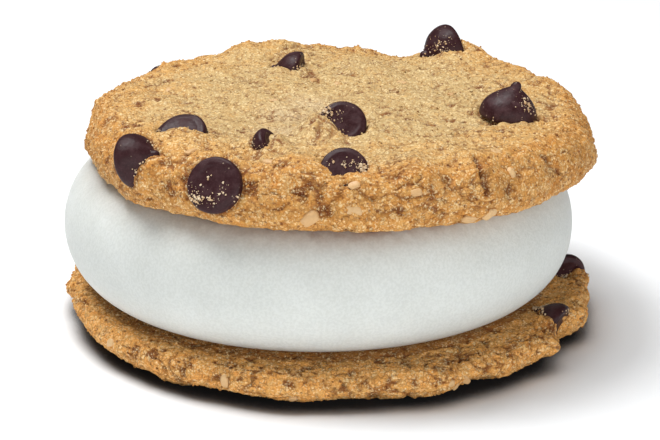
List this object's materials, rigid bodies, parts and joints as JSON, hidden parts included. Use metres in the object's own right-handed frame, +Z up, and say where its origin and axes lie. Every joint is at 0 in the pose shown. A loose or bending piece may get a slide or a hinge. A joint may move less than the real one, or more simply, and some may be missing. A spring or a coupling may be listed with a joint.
{
  "type": "ice cream sandwich",
  "caption": "Round ice cream sandwich: a thick disc of vanilla ice cream between a domed chocolate chip cookie and a second one that lies upside down.",
  "frame": {"origin": "on the floor under the middle of the sandwich", "axes": "+Z up through the layers, -Y towards the front, +X to the right seen from the front"},
  "size_m": [0.0913, 0.0911, 0.0441],
  "materials": {
    "cookie": "baked cookie dough, sandy and dry, golden with a browner rim",
    "ice_cream": "smooth frozen vanilla ice cream, soft and faintly frosty",
    "chocolate": "dark chocolate, half matte, dusted with crumbs"
  },
  "bodies": {
    "root": {"upper_cookie": "cookie", "lower_cookie": "cookie", "ice_cream": "ice_cream", "chip_front_left": "chocolate", "chip_front_face": "chocolate", "chip_crescent": "chocolate", "chip_sliver": "chocolate", "chip_centre": "chocolate", "chip_half_moon": "chocolate", "chip_back_left": "chocolate", "chip_back_rim": "chocolate", "chip_right": "chocolate", "chip_far_back": "chocolate", "chip_far_left": "chocolate", "chip_rim_top": "chocolate", "chip_rim_crack": "chocolate", "chip_rim_back": "chocolate", "chip_rim_back_left": "chocolate", "chip_under_front": "chocolate", "chip_under_back": "chocolate"}
  },
  "joints": []
}
